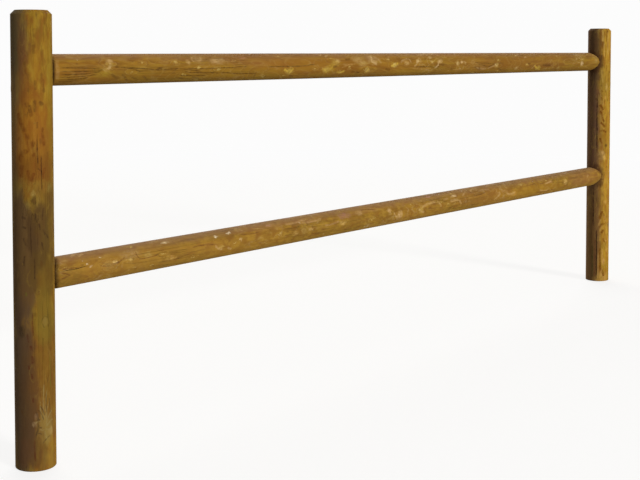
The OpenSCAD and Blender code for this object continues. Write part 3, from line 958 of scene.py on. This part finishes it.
# What each rail has of its own, in the posts' order. Heights are from the left post's axis, and
# turns start below and go round by the rear.
UPPER_RAIL_LOOK = {
    "mottle_grain": (13, 130), "mottle_force": 0.45, "squiggle_force": 0.55, "smooth_to": 1050,
    "fleck_share": 0.02, "knot_fray": 13, "edge_far": 0.1,
    "knots": (
        (222, 255, 6, 1.4), (930, 295, 6, 1.5), (1110, 290, 6, 1.5), (1320, 290, 5, 1.4),
        (1472, 272, 5, 1.2), (1870, 265, 5, 1.2), (2144, 279, 5, 1.2), (2475, 303, 5, 1.2),
        (560, 80, 10, 1), (1500, 100, 9, 1), (2300, 60, 10, 1),
    ),
    "checks": ((700, 100, 380, 1.6, 9, 0), (2000, 60, 420, 1.6, 9, 0), (2650, 215, 300, 1.4, 8, 0)),
    "patches": (
        (600, 285, 320, 18, "#9C7220", 0.4, 0.5), (790, 232, 170, 24, "#8E5C2E", 0.5, 0.5),
        (2300, 245, 480, 40, "#855A26", 0.35, 0.4), (1000, 262, 180, 26, "#96641E", 0.45, 0.5),
        (1230, 272, 60, 24, "#86561A", 0.6, 0.5), (2200, 275, 60, 24, "#845618", 0.5, 0.5),
        (2550, 285, 45, 10, "#6E4420", 0.6, 0.5), (200, 285, 29, 11, "#AA8C2C", 0.59, 0.8),
        (227, 238, 9, 6, CREAM, 0.77, 0.8), (209, 270, 8, 5, "#BE9A50", 0.72, 0.8),
        (505, 245, 8, 6, CREAM, 0.68, 0.8), (545, 232, 22, 11, "#A88654", 0.55, 0.8),
        (620, 242, 32, 8, "#B08C58", 0.6, 0.8), (735, 226, 14, 6, "#B07C50", 0.54, 0.8),
        (928, 292, 9, 8, YELLOW, 0.72, 0.8), (1110, 288, 14, 9, YELLOW, 0.77, 0.8),
        (1165, 247, 12, 5, CREAM, 0.68, 0.8), (1182, 303, 8, 5, "#C8A454", 0.72, 0.8),
        (1200, 266, 10, 4, "#B48C50", 0.45, 0.8), (1322, 294, 10, 8, "#D2B060", 0.77, 0.8),
        (1472, 272, 9, 6, "#E2C468", 0.9, 0.7), (1350, 238, 30, 14, "#A8845A", 0.45, 0.7),
        (1132, 278, 16, 12, "#C09C34", 0.55, 0.9), (1156, 256, 14, 10, "#C0A048", 0.55, 0.9),
        (1272, 240, 26, 10, "#BE9A5C", 0.55, 0.9), (1296, 262, 18, 9, "#C2A05C", 0.6, 0.9),
        (1545, 260, 12, 7, CREAM, 0.63, 0.8), (1614, 252, 8, 6, "#D8B874", 0.81, 0.8),
        (1752, 255, 12, 6, CREAM, 0.77, 0.8), (1868, 266, 7, 6, CREAM, 0.77, 0.8),
        (1896, 259, 7, 5, CREAM, 0.72, 0.8), (2040, 300, 22, 8, "#A87E44", 0.54, 0.8),
        (2146, 281, 10, 6, "#D2B064", 0.77, 0.8), (2301, 300, 12, 6, "#B8965A", 0.68, 0.8),
        (2476, 303, 14, 9, YELLOW, 0.77, 0.8), (2648, 306, 12, 6, "#B08E46", 0.68, 0.8),
        (2850, 280, 10, 8, "#DCC08C", 0.81, 0.8), (2990, 262, 19, 10, "#A88A4A", 0.54, 0.8),
    ),
    "strokes": (
        ("#5E3E12", 0.75, (
            (62, 262, 196, 270, -2, 2.8), (60, 275, 206, 272, 2, 2.8), (62, 287, 200, 277, 3, 2.8),
            (62, 297, 178, 288, 3, 2.8), (64, 308, 158, 299, 3, 2.8), (66, 318, 128, 312, 2, 2.8),
            (236, 262, 330, 282, -4, 3), (262, 262, 470, 276, 2, 2.8), (380, 268, 560, 285, -3, 2.6),
            (480, 284, 660, 291, 2, 3), (470, 299, 580, 302, 1, 2.8), (640, 291, 790, 296, 2, 2.8),
            (480, 270, 760, 264, 3, 2.2), (1596, 279, 1704, 280, 1, 2.8), (2008, 276, 2080, 292, -3, 2.8),
            (2080, 292, 2150, 276, -3, 2.8), (1980, 262, 2200, 268, 3, 2.2),
            (820, 268, 1060, 262, 3, 2.4),
        )),
        ("#66481A", 0.5, (
            (228, 286, 256, 314, 0, 5), (262, 288, 292, 318, 0, 5), (300, 300, 330, 322, 0, 5),
            (338, 298, 368, 322, 0, 4.4), (460, 308, 500, 318, 0, 4.4), (520, 306, 560, 320, 0, 4.4),
            (2160, 296, 2200, 320, 0, 5), (1980, 284, 2040, 310, 0, 4.4),
        )),
        ("#BE9860", 0.52, (
            (528, 246, 530, 222, -6, 4.8), (540, 244, 562, 222, 4, 4.8), (592, 252, 655, 240, -3, 5),
            (598, 236, 650, 228, 3, 4.6), (1090, 216, 1112, 200, 0, 5.6), (1112, 226, 1136, 208, 0, 5.6),
            (1330, 228, 1378, 258, 4, 7.2), (1342, 220, 1350, 250, 2, 7), (1386, 236, 1400, 262, 3, 5.6),
            (1506, 262, 1560, 240, -4, 4.8), (1560, 240, 1572, 262, -3, 4.8),
            (1588, 278, 1612, 256, 2, 4.6), (1720, 288, 1742, 258, 3, 4.6), (1730, 256, 1772, 252, 2, 5),
            (1890, 262, 1926, 268, -5, 4.4), (1996, 290, 2080, 300, 4, 4.6),
            (2080, 302, 2140, 284, -3, 4.6), (1664, 206, 1700, 194, 0, 6), (2300, 226, 2330, 214, 0, 5.2),
            (2360, 240, 2384, 232, 0, 5), (2420, 306, 2440, 280, 4, 4.8),
        )),
        ("#B48E54", 0.32, ((60, 230, 60, 310, 5, 9),)),
        ("#C49450", 0.5, (
            (1580, 290, 1700, 290, 2, 2.6), (1180, 280, 1260, 262, -3, 2.6),
            (1840, 300, 1900, 292, 3, 2.6),
        )),
        # The two pale groups below ring the proud knots: pale resin and ring edges, partly painted
        # highlights.
        ("#D2AC40", 0.7, (
            (903, 281, 930, 298, 0, 6), (948, 278, 930, 302, 0, 6), (1084, 283, 1114, 290, 2, 7),
            (1112, 304, 1107, 282, 0, 6), (1162, 299, 1186, 304, 0, 5), (1184, 304, 1204, 295, 0, 5),
            (1318, 302, 1332, 286, 0, 6), (1452, 277, 1474, 270, 0, 6), (1472, 274, 1494, 262, 0, 5),
            (2438, 284, 2478, 304, 3, 6), (2478, 304, 2502, 318, 0, 5),
        )),
        ("#D2AE74", 0.6, (
            (214, 272, 228, 244, 2, 5), (1600, 258, 1616, 250, 0, 5), (1736, 262, 1756, 254, 0, 5),
            (1722, 288, 1744, 266, 3, 5), (1860, 270, 1872, 263, 0, 5), (1886, 264, 1900, 257, 0, 5),
            (2128, 270, 2148, 284, 2, 5), (2846, 272, 2858, 296, 2, 6), (2292, 306, 2308, 296, 0, 5),
            (1356, 216, 1348, 262, 3, 7), (1348, 256, 1374, 266, 0, 6),
        )),
        ("#5A3A12", 0.6, (
            (2500, 284, 2574, 288, 1, 6), (1206, 240, 1236, 236, 1, 5), (1138, 276, 1160, 268, 1, 7),
            (940, 314, 962, 322, 0, 6), (2016, 288, 2030, 302, 0, 5), (2380, 272, 2404, 276, 0, 5),
            (1240, 300, 1290, 306, 1, 5), (1420, 288, 1452, 294, 1, 5), (386, 268, 406, 269, 0, 4),
        )),
    ),
}
LOWER_RAIL_LOOK = {
    "mottle_grain": (18, 32), "early": "#A1762A", "golden": "#AF8630", "ruddy": "#885A20",
    # Its sides are painted light as on the upper rail, with a brighter gold underside.
    "late": "#805424", "sides": (((-1, 0, 0), "#96704A", 0.45, 0.7), ((1, 0, 0), "#BC9038", 0.45, 0.75)),
    "shade_and_dirt_reach": 16, "shade_and_dirt_force": 0.8,
    "knots": (
        (200, 264, 8, 1.8), (980, 270, 6, 1.4), (1615, 276, 6, 1.4), (2250, 278, 5, 1.2),
        (600, 60, 10, 1), (1400, 110, 9, 1), (2600, 80, 9, 1),
    ),
    "checks": ((92, 257, 96, 1.8, 10, 2), (1200, 90, 420, 1.6, 9, 0), (2400, 120, 380, 1.6, 9, 0)),
    "patches": (
        (80, 285, 40, 26, "#7C6224", 0.5, 0.5), (200, 264, 22, 15, "#93601A", 0.8, 0.4),
        (350, 270, 260, 26, "#A87A30", 0.45, 0.5), (1190, 234, 30, 10, "#A4745A", 0.75, 0.5),
        (2000, 262, 200, 28, "#93642A", 0.55, 0.5), (2830, 262, 110, 34, "#96683A", 0.5, 0.5),
        (2400, 280, 260, 18, "#A67A1E", 0.4, 0.5), (224, 259, 7, 5, "#E0BC74", 0.85, 0.8),
        (136, 246, 4, 3, "#F0DCB0", 0.85, 0.8), (144, 258, 4, 2, "#E0C090", 0.63, 0.8),
        (280, 240, 29, 11, "#B4905C", 0.5, 0.8), (338, 252, 12, 8, "#B89A54", 0.54, 0.8),
        (413, 214, 10, 4, "#E2C894", 0.85, 0.8), (425, 282, 10, 6, "#C08E44", 0.63, 0.8),
        (605, 229, 6, 4, "#F2E0B8", 0.9, 0.8), (616, 276, 11, 6, "#C8A452", 0.65, 0.8),
        (657, 222, 7, 3, "#F0DCB4", 0.9, 0.8), (698, 257, 5, 4, "#D8B478", 0.81, 0.8),
        (832, 218, 10, 5, "#C49474", 0.72, 0.8), (942, 276, 10, 7, "#C69E54", 0.72, 0.8),
        (1013, 268, 10, 5, "#D4AC68", 0.77, 0.8), (1174, 266, 15, 6, "#D2AA5C", 0.77, 0.8),
        (1270, 233, 12, 8, "#C49E64", 0.63, 0.8), (1430, 248, 8, 6, "#C89E68", 0.72, 0.8),
        (1488, 280, 12, 11, "#D8B076", 0.72, 0.8), (1616, 276, 10, 8, "#C8A444", 0.72, 0.8),
        (1690, 208, 12, 6, "#C08C70", 0.72, 0.8), (1842, 231, 12, 4, "#E6CA96", 0.85, 0.8),
        (2258, 280, 19, 10, "#C48C32", 0.68, 0.8), (2556, 246, 15, 6, "#B8884C", 0.63, 0.8),
        (2683, 263, 14, 10, "#D0A85C", 0.81, 0.8),
    ),
    "strokes": (
        ("#6E4420", 0.7, (
            (50, 262, 78, 274, 0, 3), (50, 286, 78, 275, 0, 3), (170, 258, 250, 254, 8, 2.8),
            (176, 250, 262, 246, 10, 2.6), (300, 230, 306, 262, 3, 2.6), (50, 252, 120, 256, -1, 2.6),
            (300, 262, 380, 256, 3, 2.4), (500, 256, 590, 262, -4, 2.4), (700, 236, 780, 240, 3, 2.4),
            (1280, 222, 1360, 232, -3, 2.6), (1960, 250, 2060, 240, 3, 2.6),
            (2340, 246, 2440, 240, 2, 2.4), (2470, 250, 2500, 248, 0, 3), (2440, 300, 2600, 298, 2, 2.6),
        )),
        ("#CCA468", 0.5, (
            (96, 206, 118, 190, 0, 5), (118, 210, 142, 196, 0, 5), (1452, 260, 1476, 288, 3, 5.2),
            (1494, 258, 1502, 296, -3, 5.2), (1420, 252, 1440, 244, 0, 4.8),
            (1620, 262, 1716, 246, -4, 7), (1716, 246, 1744, 278, -5, 7), (1600, 264, 1640, 290, 3, 6.4),
            (1800, 258, 1862, 256, -2, 7), (1862, 258, 1876, 284, -2, 6.4),
            (1812, 236, 1856, 230, 0, 5.2), (1954, 220, 1992, 200, 0, 5.6), (2118, 290, 2156, 254, 3, 7),
            (2196, 266, 2270, 270, 6, 6.4), (2460, 282, 2540, 296, 4, 4.4), (2880, 262, 2900, 246, 0, 6),
            (2506, 252, 2570, 240, 2, 4.8), (590, 264, 622, 286, 3, 4.8), (640, 280, 660, 292, 2, 4.6),
        )),
        ("#BE9460", 0.5, (
            (960, 232, 1080, 226, 5, 5), (900, 226, 1000, 216, 4, 4.8), (1080, 262, 1160, 252, 4, 4.8),
            (1890, 240, 1930, 214, 0, 5), (2000, 232, 2090, 228, -3, 5), (1760, 244, 1798, 238, 0, 5),
        )),
    ),
}

for level, rail_z, seed, own_look in (
    ("upper", upper_z, 11.3, UPPER_RAIL_LOOK),
    ("lower", lower_z, 17.9, LOWER_RAIL_LOOK),
):
    rail_low, rail_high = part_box(level + "_rail")
    rail_radius = min(rail_high.z - rail_low.z, rail_high.y - rail_low.y) / 2
    rail_back = (rail_low.y + rail_high.y) / 2
    rail_start = rail_low.x - left_x
    rail_length = rail_high.x - rail_low.x
    look = {**RAIL_LOOK, **own_look}
    pine = pressure_treated_pine("pressure_treated_pine_" + level + "_rail",
                                 (rail_z / MM, -rail_back / MM, 0), (0, -math.pi / 2, 0),
                                 rail_radius / MM, seed, look)
    bores = [((0, -rail_back, -rail_start), (0, -math.pi / 2, 0)),
             ((0, -rail_back, rail_length + rail_start), (0, math.pi / 2, 0))]
    rail = worked_timber(level + "_rail_timber", look, rail_start / MM, bores, {
        "Radius": rail_radius, "Length": rail_length, "Foot bevel": ARRIS, "Top bevel": ARRIS,
        "Rounding": END_ROUND, "Side rounding": END_ROUND_SIDE,
        "Foot rounded length": END_ROUND_START, "Top rounded length": END_ROUND_LENGTH,
        "Rows": 560, "Columns": 96, "End row gap": 2.0 * MM,
        "Seat radius": post_radius + SEAT_GAP, "Seat start": rail_start, "Seat offset": rail_back,
        "Unevenness": 0.6 * MM, "Seed": seed,
        "Turn": (0, math.pi / 2, 0), "Place": (rail_low.x, rail_back, rail_z), "Finish": pine})
    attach(rail, "root")
    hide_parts(level + "_rail")
for helper in (wedge, bore_cutter):
    bpy.data.objects.remove(helper)


# ---- Dowels ------------------------------------------------------------------------------------
# Turned beech dowels with bevelled ends, glued into the bores of a post and a rail at each of the
# four joints. They are hidden once the fence is together.

DOWEL_BEVEL = 2 * MM
RAY_LENGTH = 6 * MM
RAY_WIDTH = 0.8 * MM


def dry_beech():
    """Plain turned beech: a pale, even pink-brown with short darker rays, which stays matt."""
    material = bpy.data.materials.new("dry_turned_beech")
    put = partial(add, emptied(material))
    ray_place = put("VectorMath.MULTIPLY", put("TexCoord", out="Object"),
                    (1 / RAY_LENGTH, 1 / RAY_WIDTH, 1 / RAY_WIDTH))
    rays = put("TexNoise", {"Vector": ray_place, "Scale": 1.0, "Detail": 2.0})
    ray_share = put("MapRange", rays, 0.45, 0.7)
    wood = put("Mix", {0: ray_share, 6: linear("#C39B6E"), 7: linear("#A67C52")}, data_type="RGBA", out=2)
    bump = put("Bump", {"Strength": 1.0, "Distance": 0.1 * MM, "Height": rays})
    put("OutputMaterial", put("BsdfPrincipled", {
        "Base Color": wood, "Roughness": 0.7, "Normal": bump, "IOR": 1.5, "Specular IOR Level": 0.3}))
    return material


beech = dry_beech()
for side, post_x, outward in (("left", left_x, 1), ("right", right_x, -1)):
    for level, dowel_z in (("upper", upper_z), ("lower", lower_z)):
        dowel = grown("beech_dowel_" + side + "_" + level, turned_timber, {
            "Radius": dowel_radius, "Length": dowel_length, "Foot bevel": DOWEL_BEVEL,
            "Top bevel": DOWEL_BEVEL, "Edge round": 0.3 * MM, "Rows": 24, "Columns": 40,
            "End row gap": 1.0 * MM, "Turn": (0, outward * math.pi / 2, 0),
            "Place": (post_x - outward * dowel_past, 0, dowel_z), "Finish": beech})
        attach(dowel, "root")
        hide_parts("dowel_" + side + "_" + level)
